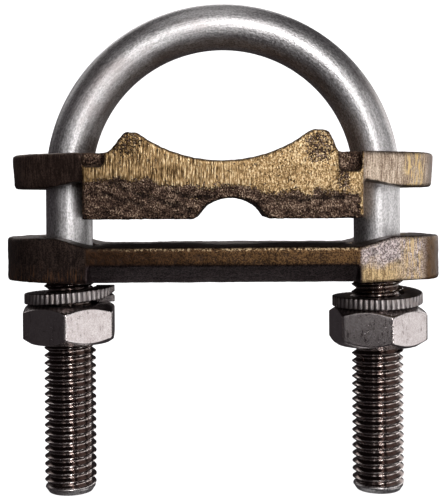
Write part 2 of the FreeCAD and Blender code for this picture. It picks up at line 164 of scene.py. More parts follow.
# A closed skin over a grid of points (rows x columns x 3). Each quad joins two rows and
# two columns, and the last column joins the first. Rows may join too, as on a ring, or
# end in rows that have shrunk to one point, whose doubles are merged.
def skin(name, grid, fields=None, ringRows=False, sharp=40):
    rows, columns = grid.shape[:2]
    points = grid.reshape(-1, 3)
    i = np.arange(rows if ringRows else rows - 1)[:, None]
    j = np.arange(columns)[None, :]
    over, right = (i + 1) % rows, (j + 1) % columns
    corners = [i * columns + j, i * columns + right, over * columns + right, over * columns + j]
    quads = np.stack(np.broadcast_arrays(*corners), axis=-1).reshape(-1, 4)
    if signedVolume(points, quads) < 0:
        quads = quads[:, ::-1]
    mesh = bpy.data.meshes.new(name)
    mesh.from_pydata(points.tolist(), [], quads.tolist())
    for label, values in (fields or {}).items():
        storeField(mesh, label, values)
    work = bmesh.new()
    work.from_mesh(mesh)
    bmesh.ops.remove_doubles(work, verts=work.verts, dist=1e-7)
    work.to_mesh(mesh)
    work.free()
    return newPiece(name, mesh, sharp)


# Keeps a number or a vector at each point of a mesh for its material
def storeField(mesh, label, values):
    values = np.asarray(values, np.float32)
    vector = values.size == 3 * len(mesh.vertices)
    made = mesh.attributes.new(label, "FLOAT_VECTOR" if vector else "FLOAT", "POINT")
    made.data.foreach_set("vector" if vector else "value", values.ravel())


# Puts a mesh into the scene, smooth but for edges that bend more than sharp degrees
def newPiece(name, mesh, sharp):
    mesh.update()
    mesh.shade_smooth()
    mesh.set_sharp_from_angle(angle=math.radians(sharp))
    piece = bpy.data.objects.new(name, mesh)
    bpy.context.scene.collection.objects.link(piece)
    return piece


# Finishes a piece: its material, the body it rides on and the node it stands for
def dress(piece, material, body, node):
    piece.data.materials.clear()
    piece.data.materials.append(material)
    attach(piece, body)
    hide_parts(node)
    print("dressed", piece.name, len(piece.data.polygons), "faces")


# Smooth seeded noise from 0 to 1: random values on a cubic lattice, blended between the
# eight corners of each cell with smoothstep weights of the place inside the cell
def softNoise(points, size, seed):
    span = 32
    lattice = np.random.default_rng(seed).random((span, span, span))
    place = np.asarray(points) / np.asarray(size)
    cell = np.floor(place).astype(int)
    part = place - cell
    weight = part * part * (3 - 2 * part)
    total = np.zeros(len(place))
    for corner in np.ndindex(2, 2, 2):
        index = (cell + corner) % span
        share = np.prod(np.where(np.array(corner) == 1, weight, 1 - weight), axis=1)
        total += lattice[index[:, 0], index[:, 1], index[:, 2]] * share
    return total


# Smoothstep from low to high: the share of the way, squared, times three less twice it
def rise(values, low, high):
    part = np.clip((values - low) / (high - low), 0, 1)
    return part * part * (3 - 2 * part)


# Smooth minimum of stacked distances: -k log(sum(exp(-d / k)))
def softMin(values, k):
    least = values.min(axis=0)
    return least - k * np.log(np.sum(np.exp(-(values - least) / k), axis=0))


thread = {
    "pitch": 1.5 * mm,
    "crest": 5.0 * mm,
    "root": 4.09 * mm,
    "crestFlat": 0.07,  # part of half a pitch that stays at the crest
    "rootFlat": 0.07,
    "top": -15.0 * mm,
    "bottom": -60.0 * mm,
    "runOut": 1.6 * mm,
    "chamferIn": 0.62 * mm,  # leg ends: how far in and how far up the chamfer goes
    "chamferUp": 0.93 * mm,
    "fade": (0.5 * mm, 2.1 * mm),  # the thread starts shallow above the leg end
    "startDrop": 0.12 * mm,  # and its crest a little lower
}


# Depth of the right-handed thread, 0 on the crest and 1 in the root, at a height z and
# an angle about the leg: a V wave of z / pitch minus the share of a turn, with flats
def threadDepth(z, angle):
    phase = z / thread["pitch"] - angle / (2 * np.pi)
    part = np.abs(phase - np.round(phase)) * 2
    low, high = thread["crestFlat"], 1 - thread["rootFlat"]
    return np.clip((part - low) / (high - low), 0, 1)


uBoltShape = {
    "legX": 30 * mm,
    "rod": 4.5 * mm,
    "columns": 72,
    "rowsPerPitch": 15,
    "threadReach": 47 * mm,  # the fine rows reach this far from each leg end
    "plainRows": 12,
    "bendRows": 150,
    "chamferRows": [0, 0.03, 0.3, 0.6, 0.85, 0.97, 1.0],
    "capRings": [0.0, 0.5, 0.97],
    "ovality": 0.012,  # the bent rod is a little flatter from inside to outside
}


# The U-bolt is one tube: a circle of radius r(s, angle) carried up the left leg, round
# the half ring and down the right leg. On the legs r follows the thread's depth.
def makeUBolt():
    look = uBoltShape
    legX, rod = look["legX"], look["rod"]
    leg = -thread["bottom"]
    bend = math.pi * legX
    total = 2 * leg + bend
    tip = np.array(look["chamferRows"]) * thread["chamferUp"]
    count = int((leg - thread["chamferUp"]) / thread["pitch"] * look["rowsPerPitch"])
    share = int(count * look["threadReach"] / leg)
    low = np.linspace(thread["chamferUp"], look["threadReach"], share)[1:]
    plain = np.linspace(look["threadReach"], leg, look["plainRows"])[1:]
    half = np.concatenate([tip, low, plain])
    ring = np.linspace(leg, leg + bend, look["bendRows"])[1:-1]
    s = np.concatenate([half, ring, (total - half)[::-1]])[:, None]
    angle = (np.arange(look["columns"]) / look["columns"] * 2 * np.pi)[None, :]
    turn = np.clip((s - leg) / legX, 0, math.pi)  # 0 on the left leg, pi on the right
    outX, outZ = -np.cos(turn), np.sin(turn)
    drop = np.where(s < leg, s - leg, np.where(s > leg + bend, leg + bend - s, 0))
    middleX, middleZ = legX * outX, legX * outZ + drop
    legAngle = np.arctan2(np.sin(angle), np.cos(angle) * np.where(s < total / 2, -1, 1))
    height = middleZ + 0 * angle
    fromEnd = np.minimum(s, total - s)
    start = rise(fromEnd, *thread["fade"])
    depth = threadDepth(height, legAngle) * start
    cut = rise(-height, -thread["top"], -thread["top"] + thread["runOut"])
    cut = cut * (turn * (math.pi - turn) <= 0)
    crest = thread["crest"] - thread["startDrop"] * (1 - start)
    worked = crest - (thread["crest"] - thread["root"]) * depth
    radius = rod + (worked - rod) * cut
    squeeze = look["ovality"] * np.sin(turn) * np.cos(2 * angle)
    radius = radius * (1 - squeeze)
    slope = thread["chamferIn"] / thread["chamferUp"]
    radius = np.minimum(radius, crest - thread["chamferIn"] + fromEnd * slope)
    x = middleX + radius * np.cos(angle) * outX
    y = radius * np.sin(angle) + 0 * s
    z = height + radius * np.cos(angle) * outZ
    grid = np.stack([x, y, z], axis=-1)
    along = s + 0 * angle
    flow = np.stack([rod * np.cos(angle) + 0 * s, rod * np.sin(angle) + 0 * s, along], -1)
    depth = depth * cut
    worn = cut * start  # 1 on the threaded stretch
    # both flat ends: rings that shrink to the leg's axis
    shrink = np.array(look["capRings"])[:, None]
    for first in (True, False):
        edge = grid[0] if first else grid[-1]
        middle = edge.mean(axis=0)
        caps = middle + (edge - middle)[None] * shrink[..., None]
        flows = np.repeat(flow[:1] if first else flow[-1:], len(shrink), axis=0)
        flows = flows * np.array([1, 1, 0]) * shrink[..., None] + flows * np.array([0, 0, 1])
        flat = np.zeros((len(shrink), grid.shape[1]))
        order = slice(None) if first else slice(None, None, -1)
        grid = np.concatenate((caps[order], grid) if first else (grid, caps[order]))
        flow = np.concatenate((flows[order], flow) if first else (flow, flows[order]))
        depth = np.concatenate((flat, depth) if first else (depth, flat))
        worn = np.concatenate((flat, worn) if first else (worn, flat))
    fields = {"flow": flow, "threadDepth": depth, "threaded": worn}
    return skin("u_bolt_rod", grid, fields, sharp=50)


satinLook = {
    # sizes of the noises
    "grain": 0.24 * mm,
    "lines": 0.26 * mm,
    "clouds": 4.5 * mm,
    "stains": 8 * mm,
    "pits": 0.5 * mm,
    "flankShadeMottle": 0.9 * mm,
    "steel": [
        (0.38, (0.42, 0.405, 0.405)),
        (0.50, (0.61, 0.59, 0.59)),
        (0.60, (0.80, 0.78, 0.78)),
    ],
    "stainTone": (0.34, 0.28, 0.27),
    "pitTone": (0.12, 0.10, 0.10),
    "threadTone": (0.70, 0.61, 0.57),
    "flankShadeTone": (0.10, 0.056, 0.044),
    "bump": 0.030 * mm,
}


# Satin rod: fine grain with faint lines along it; brown painted shade on the thread's flanks
def satinSteel():
    look = satinLook
    material, f = newMaterial("satinSteel")
    flow = f.flow("flow")
    depth = f.field("threadDepth")
    threaded = f.field("threaded")
    grain = f.noise(f.place(flow, (1, 1, 0.6), look["grain"]), 1.0, 0.5)
    lines = f.noise(f.place(flow, (1, 1, 0.05), look["lines"]), 2.0, 0.6)
    clouds = f.noise(f.place(flow, (1, 1, 0.35), look["clouds"]), 3.0, 0.6)
    stain = f.noise(f.place(flow, (1, 1, 0.5), look["stains"]), 4.0, 0.6).step(0.50, 0.68)
    pits = f.noise(f.place(flow, (1, 1, 0.6), look["pits"]), 2.0, 0.5).step(0.70, 0.78)
    tone = grain * 0.62 + lines * 0.38
    base = f.ramp(tone, *look["steel"])
    base = f.mix(stain * 0.5, base, look["stainTone"])
    base = f.mix(pits * 0.5, base, look["pitTone"])
    # painted shade: the thread's flanks, between crest and root, are painted dark brown and
    # mottled
    flank = depth.step(0.03, 0.22) * (1 - depth.step(0.86, 0.99)) * threaded
    flankShadeMottle = f.noise(f.place(flow, (1, 1, 1), look["flankShadeMottle"]), 3.0, 0.6)
    base = f.mix(threaded * 0.60, base, look["threadTone"])
    base = f.mix(flank * (flankShadeMottle * 0.3 + 0.68), base, look["flankShadeTone"])
    grain = 0.5 + (grain - 0.5) * (1 - threaded * 0.85)
    roughness = 0.35 + clouds * 0.10 + (grain - 0.5) * 0.36 - threaded * 0.21
    height = grain + (lines * 0.5 - pits * 0.5) * (1 - threaded * 0.8)
    metal(f, base, roughness, height, look["bump"])
    return material


# A fine even skin over a copy of a CAD solid: doubles merged, remeshed by voxels, then
# each point moved a few times half way to the mean of its neighbours
def remeshed(node, voxel, rounds):
    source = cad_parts[node].data.copy()
    work = bmesh.new()
    work.from_mesh(source)
    bmesh.ops.remove_doubles(work, verts=work.verts, dist=1e-6)
    work.to_mesh(source)
    work.free()
    rough = bpy.data.objects.new(node + "_rough", source)
    bpy.context.scene.collection.objects.link(rough)
    grid = rough.modifiers.new("grid", "REMESH")
    grid.mode = "VOXEL"
    grid.voxel_size = voxel
    grid.adaptivity = 0.0
    graph = bpy.context.evaluated_depsgraph_get()
    mesh = bpy.data.meshes.new_from_object(rough.evaluated_get(graph))
    bpy.data.objects.remove(rough)
    bpy.data.meshes.remove(source)
    points = np.empty(len(mesh.vertices) * 3)
    mesh.vertices.foreach_get("co", points)
    points = points.reshape(-1, 3)
    edges = np.empty(len(mesh.edges) * 2, np.int64)
    mesh.edges.foreach_get("vertices", edges)
    edges = edges.reshape(-1, 2)
    for _ in range(rounds):
        points += 0.5 * (neighbourMean(points, edges) - points)
    return mesh, points, edges


# Mean of each point's neighbours along the edges
def neighbourMean(values, edges):
    count = len(values)
    ends = np.concatenate([edges[:, 0], edges[:, 1]])
    others = np.concatenate([edges[:, 1], edges[:, 0]])
    number = np.bincount(ends, minlength=count)
    if values.ndim == 1:
        return np.bincount(ends, values[others], count) / number
    sums = [np.bincount(ends, values[others, k], count) for k in range(3)]
    return np.stack(sums, axis=-1) / number[:, None]


# How far each point stands out from (+) or lies inside (-) its neighbourhood, taken
# along the normal and averaged over a few rounds, in units of the given length
def bulge(points, normals, edges, length, rounds=3):
    away = np.sum((points - neighbourMean(points, edges)) * normals, axis=1)
    for _ in range(rounds):
        away = neighbourMean(away, edges)
    return away / length


# Moves the mesh to the points and gives the normals that it then has
def meshNormals(mesh, points):
    mesh.vertices.foreach_set("co", points.ravel())
    mesh.update()
    normals = np.empty(len(mesh.vertices) * 3)
    mesh.vertex_normals.foreach_get("vector", normals)
    return normals.reshape(-1, 3)


# Distance in the front view from each point to a line through the given corners
def lineDistance(x, z, corners):
    nearest = np.full(len(x), np.inf)
    for (ax, az), (bx, bz) in zip(corners[:-1], corners[1:]):
        dx, dz = bx - ax, bz - az
        share = np.clip(((x - ax) * dx + (z - az) * dz) / (dx * dx + dz * dz), 0, 1)
        nearest = np.minimum(nearest, np.hypot(x - ax - share * dx, z - az - share * dz))
    return nearest


saddleShape = {
    "voxel": 0.34 * mm,
    "rounds": 2,
    "block": 25.4,  # half the block's width; plain lengths and places are in millimetres
    "ground": 13.95,  # only what stands out this far from the middle was ground
    "facing": (0.72, 0.96),  # and only where the face looks this squarely to the front
    # the ragged lower edge of the ground face
    "groundEdge": [
        (-26, -0.2), (-14, -0.1), (-8, -1.3), (-2, -1.2), (2, -0.9), (7.5, -2.4), (26, -2.5),
    ],
    "raggedSize": 1.9 * mm,
    "raggedReach": 1.6,
    "edgeSoft": 0.9,
    # place, reach across and up, and how cast they are
    "patches": [
        (-17.2, 6.9, 3.4, 3.1, 0.41),
        (17.5, 6.0, 3.2, 3.3, 0.52),
        (21.9, -0.2, 1.6, 2.6, 0.60),
    ],
    "patchFade": (0.45, 1.25),  # in reaches from its place
    # lines of the cracks in the cast skin
    "cracks": [
        [(-20, -0.5), (-16, -2.3), (-12, -3.7), (-5.8, -5.3)],
        [(-24.6, -2.4), (-19, -3.3), (-14.5, -4.7)],
        [(-9, -2.2), (-5, -3.3), (-1.5, -3.2)],
        [(8.8, -3.4), (13, -3.8), (17.4, -3.4), (22.8, -3.6)],
    ],
    "crackWidth": 0.32,
    "crackDepth": 0.20 * mm,
    "wobbleSize": 1.3 * mm,
    "wobble": 0.9,  # how far the cracks stray up and down
    "endEdge": (24.55, 24.85),  # from here out the block's right edge is ground too
    "endFoot": (-6.8, -6.2),  # down to here
    "roughCast": 0.26 * mm,  # depth of the bumps on the as-cast skin
    "bumpSize": (0.80 * mm, 0.80 * mm, 0.55 * mm),
    "fineSize": 0.45 * mm,
    "seed": 11,
}


# Saddle: the CAD shape with a bumpy cast skin. The field cast is 1 where the sand-cast
# face was left alone and 0 where front and back were ground, with a ragged edge.
def makeSaddle():
    look = saddleShape
    mesh, points, edges = remeshed("saddle", look["voxel"], look["rounds"])
    normals = meshNormals(mesh, points)
    x, y, z = points.T / mm
    seed = look["seed"]
    level = 1 - 0.9 * rise(np.abs(x), look["block"] - 0.1, look["block"] + 0.1)
    face = level * rise(np.abs(y), look["ground"] - 0.2, look["ground"] + 0.2)
    face = face * rise(np.abs(normals[:, 1]), *look["facing"])
    ear = rise(np.abs(x), look["block"] - 0.2, look["block"] + 0.5)
    ragged = (softNoise(points, look["raggedSize"], seed) - 0.5) * look["raggedReach"]
    edgeX, edgeZ = zip(*look["groundEdge"])
    soft = look["edgeSoft"]
    cast = rise(np.interp(x, edgeX, edgeZ) - z + ragged, -soft, soft)
    for px, pz, rx, rz, part in look["patches"]:
        reach = np.hypot((x - px) / rx, (z - pz) / rz) - ragged * 0.15
        cast = np.maximum(cast, part * (1 - rise(reach, *look["patchFade"])))
    cast = cast * (1 - rise(x, *look["endEdge"]) * rise(z, *look["endFoot"]))
    cast = 1 - (1 - cast) * face
    slant = points @ np.array([[1, 0, 0], [0, 1, 0], [0.7, 0, 1]])  # bumps lean to the left
    grain = softNoise(slant, look["bumpSize"], seed + 2)
    grain = 0.62 * grain + 0.38 * softNoise(points, look["fineSize"], seed + 3)
    wobble = (softNoise(points, look["wobbleSize"], seed + 4) - 0.5) * look["wobble"]
    crack = np.zeros(len(x))
    for corners in look["cracks"]:
        away = lineDistance(x, z + wobble, corners) / look["crackWidth"]
        crack = np.maximum(crack, 1 - rise(away, 0.35, 1.3))
    crack = crack * cast * face * (0.35 + 0.65 * softNoise(points, look["raggedSize"], seed + 5))
    rough = cast * (1 - 0.72 * ear)
    away = bulge(points, normals, edges, look["voxel"])
    sink = look["roughCast"] * (0.10 + 0.90 * rough) * (1 - grain) + look["crackDepth"] * crack
    points -= normals * sink[:, None]
    meshNormals(mesh, points)
    fields = {"cast": cast, "ear": ear, "crack": crack, "bulge": away, "grain": grain}
    for label, values in fields.items():
        storeField(mesh, label, values)
    return newPiece("saddle_casting", mesh, 180)


barShape = {
    "voxel": 0.35 * mm,
    "rounds": 2,
    "roughCast": 0.15 * mm,
    "grainSize": 0.8 * mm,
    "fineSize": 0.45 * mm,
    "wave": 0.18 * mm,  # slow waviness of the cast edges
    "waveSize": 3.2 * mm,
    "bevelTop": -15.6,  # all that lies below this height between the bosses is bevel
    "corner": 25.0,  # where a boss begins; both are in millimetres
    "seed": 41,
}


# Lower bar: the CAD shape with a cast skin of slow waves and fine grain
def makeBar():
    look = barShape
    mesh, points, edges = remeshed("lower_bar", look["voxel"], look["rounds"])
    normals = meshNormals(mesh, points)
    x, y, z = points.T / mm
    seed = look["seed"]
    away = bulge(points, normals, edges, look["voxel"])
    grain = softNoise(points, look["grainSize"], seed)
    grain = grain * 0.6 + softNoise(points, look["fineSize"], seed + 1) * 0.4
    slow = softNoise(points, look["waveSize"], seed + 2)
    middle = 1 - rise(np.abs(x), look["corner"] - 0.4, look["corner"] + 0.4)
    bevel = middle * (1 - rise(z, look["bevelTop"] - 0.25, look["bevelTop"] + 0.35))
    upper = rise(normals[:, 2], 0.45, 0.8)
    calm = 1 - 0.5 * bevel
    sink = look["roughCast"] * calm * (1 - grain) + look["wave"] * calm * (1 - slow)
    points -= normals * sink[:, None]
    meshNormals(mesh, points)
    fields = {"bulge": away, "grain": grain, "middle": middle, "bevel": bevel, "upper": upper}
    for label, values in fields.items():
        storeField(mesh, label, values)
    return newPiece("lower_bar_casting", mesh, 180)


groundLook = {
    # sizes of the noises
    "fine": 0.24 * mm,
    "streak": 0.25 * mm,
    "nicks": 0.22 * mm,
    "broad": 3.2 * mm,
    "crumbs": 0.36 * mm,
    "rub": 0.30 * mm,
    "soft": 0.75 * mm,
    "gold": [
        (0.38, (0.060, 0.033, 0.013)),
        (0.48, (0.21, 0.127, 0.054)),
        (0.56, (0.41, 0.268, 0.126)),
        (0.65, (0.76, 0.59, 0.36)),
    ],
    "skin": [
        (0.38, (0.009, 0.005, 0.004)),
        (0.48, (0.055, 0.032, 0.023)),
        (0.56, (0.155, 0.096, 0.068)),
        (0.64, (0.58, 0.42, 0.30)),
    ],
    # the ears: the right one painted pale as lit, the left one painted dark as shade
    "litRightEar": [
        (0.40, (0.24, 0.165, 0.120)),
        (0.50, (0.52, 0.40, 0.30)),
        (0.60, (0.84, 0.71, 0.58)),
    ],
    "shadedLeftEar": [
        (0.40, (0.055, 0.034, 0.027)),
        (0.50, (0.105, 0.066, 0.052)),
        (0.60, (0.21, 0.14, 0.11)),
    ],
    "crackTone": (0.005, 0.003, 0.003),
    "rubbed": (0.80, 0.58, 0.27),
    "earEndShade": (0.115, 0.070, 0.052),
    # painted shade of the faces that look up
    "top": [(0.045, 0.028, 0.021), (0.27, 0.185, 0.13)],
    # painted shade of the faces that look down
    "under": (0.045, 0.029, 0.024),
    "bump": 0.13 * mm,
}


# Saddle's finish: ground gold face with upright scratches that turn to specks on the
# right, brown cast skin with sparkles, a left ear painted dark as shade and a scratched
# right ear painted pale as lit, its rounded end painted darker as shade, and painted
# shade on the faces that look up or down
def groundBronze():
    look = groundLook
    material, f = newMaterial("groundBronze")
    place = f.node("TexCoord", None, None, 3)
    x = f.axis(place, 0)
    facing = f.axis(f.node("NewGeometry", None, None, 1), 2)
    fine = f.noise(f.place(place, (1, 1, 0.8), look["fine"]), 1.0, 0.5)
    streak = f.noise(f.place(place, (1, 1, 0.10), look["streak"]), 1.0, 0.5)
    nicks = f.noise(f.place(place, (1, 1, 0.28), look["nicks"]), 1.0, 0.5)
    broad = f.noise(f.place(place, (1, 1, 0.6), look["broad"]), 3.0, 0.6)
    side = x.step(-3 * mm, 10 * mm)
    lines = streak * (1 - side * 0.8) + fine * (side * 0.8)
    lift = x.step(-20 * mm, 2 * mm) * 0.053 - 0.0145
    gold = f.ramp(lines * 0.60 + nicks * 0.40 + (broad - 0.5) * 0.16 + lift, *look["gold"])
    bumps = f.field("grain")
    crumbs = f.noise(f.place(place, (1, 1, 1), look["crumbs"]), 1.5, 0.55)
    lift = x.step(-16 * mm, 12 * mm) * 0.026 - 0.009
    tone = bumps * 0.24 + crumbs * 0.30 + fine * 0.46 + (broad - 0.5) * 0.14 + lift
    skin = f.ramp(tone, *look["skin"])
    skin = f.mix(f.field("crack"), skin, look["crackTone"])
    rub = f.noise(f.place(place, (1, 1, 0.09), look["rub"]), 1.5, 0.5)
    away = f.math("ABSOLUTE", x)
    band = away.step(32.8 * mm, 34.8 * mm) * (1 - away.step(36.8 * mm, 38.4 * mm))
    tone = rub * 0.40 + fine * 0.35 + broad * 0.25
    # painted light and shade: the right ear is painted pale as lit and the left ear dark as
    # shaded
    right = f.ramp(tone, *look["litRightEar"])
    right = f.mix(band * rub.step(0.46, 0.58), right, look["rubbed"])
    # painted shade: the right ear darkens where its end rounds away
    right = f.mix(away.step(37.6 * mm, 39.6 * mm) * 0.8, right, look["earEndShade"])
    left = f.ramp(tone, *look["shadedLeftEar"])
    lug = f.mix(x.step(-10 * mm, 10 * mm), left, right)
    soft = f.noise(f.place(place, (1, 1, 1), look["soft"]), 2.0, 0.6)
    cast = (f.field("cast") + (crumbs - 0.5) * 2.2 + (soft - 0.5) * 1.1).step(0.36, 0.64)
    ear = f.field("ear")
    base = f.mix(cast, gold, skin)
    base = f.mix(ear, base, lug)
    # painted shade: faces that look upwards are painted darker
    top = f.mix(tone.step(0.40, 0.60), *look["top"])
    base = f.mix(facing.step(0.55, 0.85) * 0.7, base, top)
    # painted shade: faces that look downwards are painted dark
    base = f.mix((0 - facing).step(0.55, 0.85) * 0.7, base, look["under"])
    roughness = 0.42 + cast * 0.06 + (fine - 0.5) * 0.2
    height = lines * ((1 - cast) * 0.6) + (crumbs * 1.5 + fine * 1.1) * (cast * (1 - ear * 0.85))
    height = height + rub * (ear * 0.3)
    metal(f, base, roughness, height, look["bump"], 0.9)
    return material


castLook = {
    # sizes of the noises
    "fine": 0.25 * mm,
    "crumbs": 0.45 * mm,
    "rub": 0.27 * mm,
    "broad": 2.4 * mm,
    "warm": [(0.038, 0.0158, 0.0064), (0.134, 0.070, 0.027)],  # at the left and at the right
    "dull": [(0.023, 0.011, 0.0057), (0.030, 0.016, 0.008)],
    "mauve": [
        (0.42, (0.19, 0.145, 0.140)),
        (0.50, (0.43, 0.355, 0.345)),
        (0.58, (0.80, 0.70, 0.68)),
    ],
    "gold": [(0.26, 0.165, 0.080), (0.72, 0.53, 0.29)],
    "bossEnd": (0.128, 0.064, 0.022),
    "bossEdge": (0.085, 0.053, 0.052),
    # the left boss: stains and rust, painted dark as shade
    "stain": [(0.050, 0.033, 0.029), (0.125, 0.085, 0.068)],
    "rust": (0.26, 0.125, 0.060),
    # the bevel: dark as-cast oxide, painted darker still as shade
    "bevel": [(0.0150, 0.0096, 0.0104), (0.064, 0.045, 0.047)],
    # painted highlight on the bumps of the strip's top rim
    "rimHighlight": (0.70, 0.53, 0.32),
    # painted shade of the faces that look up
    "top": [(0.030, 0.019, 0.016), (0.13, 0.085, 0.065)],
    "hollow": (0.020, 0.013, 0.011),
    "bump": 0.06 * mm,
}


# Bar's finish: rusty brown on the left to dull gold on the right, a bevel of dark oxide
# painted darker still as shade, a top painted near black as shade, a left boss painted
# dark as shade over its stains and rust, painted highlights on the bumps of the strip's
# top rim, and a right boss of pale mauve grain with rubbed gold low on it and beside it
def castBronze():
    look = castLook
    material, f = newMaterial("castBronze")
    place = f.node("TexCoord", None, None, 3)
    x, z = f.axis(place, 0), f.axis(place, 2)
    fine = f.noise(f.place(place, (1, 1, 1), look["fine"]), 1.0, 0.5)
    crumbs = f.noise(f.place(place, (1, 1, 1), look["crumbs"]), 2.0, 0.6)
    rub = f.noise(f.place(place, (1, 1, 0.10), look["rub"]), 1.5, 0.5)
    broad = f.noise(f.place(place, (0.6, 1, 1), look["broad"]), 3.0, 0.6)
    side = x.step(-24 * mm, 16 * mm)
    warm = f.mix(side, *look["warm"])
    dull = f.mix(side, *look["dull"])
    tone = fine * 0.55 + crumbs * 0.20 + rub * 0.10 + broad * 0.15 + z * 9
    strip = f.mix(tone.step(0.29, 0.45), dull, warm)
    tone = fine * 0.6 + crumbs * 0.4
    mauve = f.ramp(tone, *look["mauve"])
    gold = f.mix((rub * 0.6 + fine * 0.4).step(0.42, 0.58), *look["gold"])
    low = (broad - 0.5) * 6 * mm - z
    worn = low.step(14.0 * mm, 17.0 * mm) * (1 - x.step(30 * mm, 36 * mm) * 0.6)
    band = x.step(31.5 * mm, 34 * mm) * (1 - x.step(36.0 * mm, 38.0 * mm))
    worn = f.math("MAXIMUM", worn, band * rub.step(0.40, 0.54) * 0.9)
    boss = f.mix(worn, mauve, gold)
    boss = f.mix(x.step(36.2 * mm, 38.4 * mm) * 0.95, boss, look["bossEnd"])
    boss = f.mix(x.step(39.6 * mm, 41.4 * mm) * 0.7, boss, look["bossEdge"])
    spots = (fine * 0.6 + rub * 0.4).step(0.44, 0.60)
    stain = f.mix(spots, *look["stain"])
    stain = f.mix(rub.step(0.50, 0.62) * low.step(15.0 * mm, 18 * mm) * 0.7, stain, look["rust"])
    # painted shade: the left boss takes the dark stained colours and the right boss the pale
    # ones
    boss = f.mix(x.step(-10 * mm, 10 * mm), stain, boss)
    base = f.mix(f.field("middle"), boss, strip)
    # painted shade: the bevel faces down and is painted darker than its as-cast oxide, lighter
    # towards its bottom
    bevel = f.mix((tone - z * 14).step(0.62, 0.90), *look["bevel"])
    base = f.mix(f.field("bevel") * 0.95, base, bevel)
    # painted highlight: bright gold on the bumps along the top rim of the front strip
    rimHighlight = (f.field("bulge") + (crumbs - 0.5) * 0.25 + (fine - 0.5) * 0.15).step(0.035, 0.085)
    rimHighlight = rimHighlight * z.step(-13.2 * mm, -12.6 * mm) * x.step(-26 * mm, -8 * mm)
    rimHighlight = rimHighlight * (1 - x.step(22 * mm, 30 * mm) * 0.8)
    base = f.mix(rimHighlight * 0.85, base, look["rimHighlight"])
    # painted shade: faces of the bar that look upwards are painted near black
    top = f.mix(tone.step(0.42, 0.60), *look["top"])
    base = f.mix(f.field("upper") * 0.85, base, top)
    hollow = 1 - f.field("grain").step(0.20, 0.42)
    base = f.mix(hollow * 0.5, base, look["hollow"])
    roughness = 0.44 + (fine - 0.5) * 0.2
    metal(f, base, roughness, fine * 0.6 + crumbs * 0.6, look["bump"], 0.9)
    return material


washerShape = {
    "bore": 5.2 * mm,
    "outer": 8.75 * mm,
    "thick": 2.0 * mm,
    "rise": 1.5 * mm,
    "split": 12.0,  # degrees
    "ribs": 50,
    "rowsPerRib": 9,
    "ribDepth": 0.20 * mm,
    "thinEnds": 0.35,  # share of the section's height that the ends lose
    "edge": 0.20 * mm,  # rounding of the section's corners
    "cornerPoints": 4,
    "levelOff": 1.12,  # share of the turn where the lift would end, past the coil's end
    # leg axis, lowest point, middle of the split, share of the turn where the coil lifts
    "left": (-30 * mm, -23.60 * mm, 6.0, 0.46),
    "right": (30 * mm, -24.50 * mm, 66.0, 0.55),
}


# Spring washer: a rounded rectangle carried along one turn of a helix that lies flat at
# first and then lifts. The outer side moves in and out along the turn as upright ribs,
# and the section thins towards both ends.
def makeWasher(side):
    look = washerShape
    legX, low, split, lift = look[side]
    half = look["thick"] / 2
    middle = (look["bore"] + look["outer"]) / 2
    wide = (look["outer"] - look["bore"]) / 2
    edge = look["edge"]
    quarter = np.linspace(0, np.pi / 2, look["cornerPoints"])
    section = []
    for sx, sz, k in [(1, 1, 0), (-1, 1, 1), (-1, -1, 2), (1, -1, 3)]:
        bendAngle = quarter + k * np.pi / 2
        cornerX = sx * (wide - edge) + edge * np.cos(bendAngle)
        cornerZ = sz * (half - edge) + edge * np.sin(bendAngle)
        section.append(np.stack([cornerX, cornerZ], axis=-1))
    section = np.concatenate(section)
    share = np.linspace(0, 1, look["ribs"] * look["rowsPerRib"] + 1)[:, None]
    start = math.radians(split + look["split"] / 2)
    span = math.radians(360 - look["split"])
    angle = start + share * span
    wave = 0.5 - 0.5 * np.cos(share * look["ribs"] * 2 * np.pi)
    outside = np.clip(section[:, 0] / wide, 0, 1)[None, :] ** 2
    reach = middle + section[None, :, 0] - look["ribDepth"] * (wave**1.5) * outside
    thin = 1 - look["thinEnds"] * (rise(share, 0.86, 1.0) + 1 - rise(share, 0.0, 0.09))
    whole = rise(1.0, lift, look["levelOff"])
    lifted = look["rise"] * rise(share, lift, look["levelOff"]) / whole
    bottom = low + lifted + 2 * half * (1 - thin) * rise(share, 0.5, 1.0)
    x = legX + reach * np.cos(angle)
    y = reach * np.sin(angle)
    z = bottom + (half + section[None, :, 1]) * thin
    grid = np.stack([x, y, z], axis=-1)
    crest = (1 - wave) * outside
    ends = np.minimum(share, 1 - share) * np.ones_like(crest)
    for first in (True, False):
        edgeRow = grid[0] if first else grid[-1]
        centre = np.repeat(edgeRow.mean(axis=0)[None, None], grid.shape[1], axis=1)
        grid = np.concatenate((centre, grid) if first else (grid, centre))
        flat = np.zeros((1, grid.shape[1]))
        crest = np.concatenate((flat, crest) if first else (crest, flat))
        ends = np.concatenate((flat, ends) if first else (ends, flat))
    fields = {"crest": crest, "fromEnd": ends}
    return skin("spring_washer_" + side + "_coil", grid, fields, sharp=45)


washerLook = {
    "speck": 0.22 * mm,
    "blotch": 2.2 * mm,
    "steel": [(0.13, 0.115, 0.115), (0.25, 0.215, 0.205)],
    "ribTops": (0.46, 0.42, 0.41),
    "specks": (0.05, 0.042, 0.042),
    "ends": (0.04, 0.035, 0.035),
    "bump": 0.022 * mm,
}


